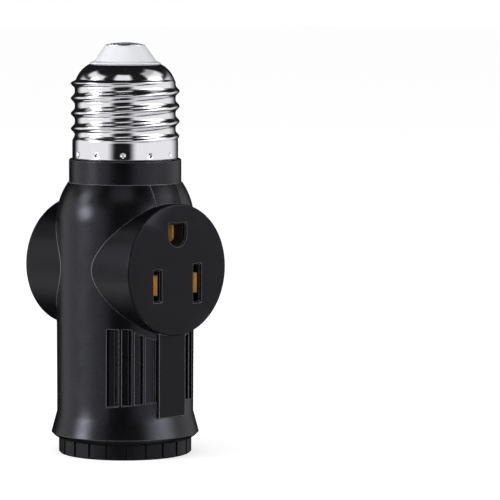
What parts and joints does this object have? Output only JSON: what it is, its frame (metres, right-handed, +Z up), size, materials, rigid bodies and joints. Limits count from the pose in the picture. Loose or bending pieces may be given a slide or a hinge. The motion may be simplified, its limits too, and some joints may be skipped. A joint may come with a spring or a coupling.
{
  "type": "light socket outlet adapter",
  "caption": "Black lamp socket adapter with a screw cap on top, a threaded lamp socket below and grounded outlets on opposite sides.",
  "frame": {"origin": "centre of the flat ring that the adapter stands on, under the middle of the body", "axes": "+Z up the adapter's axis to the screw cap's tip, -Y out of the front outlet's face, +X to the right when facing that outlet"},
  "size_m": [0.0356, 0.0374, 0.0987],
  "materials": {
    "housing_black": "satin black moulding",
    "outlet_black": "satin black moulding",
    "ring_black": "black moulding",
    "cap_metal": "bright nickel plate",
    "cap_white": "white insulating moulding",
    "contact_metal": "tinned contact",
    "socket_metal": "plain rolled metal",
    "insulator": "insulating moulding",
    "block": "dark insulating moulding",
    "brass": "stamped brass",
    "live_insulation": "black wire insulation",
    "neutral_insulation": "white wire insulation"
  },
  "bodies": {
    "adapter": {"housing": "housing_black", "front_outlet_cover": "outlet_black", "rear_outlet_cover": "outlet_black", "base_ring": "ring_black", "screw_shell": "cap_metal", "cap_insulator": "cap_white", "centre_contact": "contact_metal", "socket_shell": "socket_metal", "socket_insulator": "insulator", "lamp_contact_rivet": "brass", "front_contact_block": "block", "rear_contact_block": "block", "front_live_contact": "brass", "rear_live_contact": "brass", "front_neutral_contact": "brass", "rear_neutral_contact": "brass", "front_ground_contact": "brass", "rear_ground_contact": "brass", "live_strap": "brass", "neutral_strap": "brass", "ground_link": "brass", "contact_rivets": "brass", "live_lead": "live_insulation", "neutral_lead": "neutral_insulation", "lamp_neutral_lead": "neutral_insulation"},
    "lamp_contact": {"lamp_contact": "brass"}
  },
  "joints": [
    {"name": "lamp_contact_flex", "type": "hinge", "parent": "adapter", "child": "lamp_contact", "pos_m": [-0.007, 0, 0.02877], "axis": [0, -1, 0], "range_deg": [0, 10.5], "stiffness_Nm_per_rad": 0.2}
  ]
}
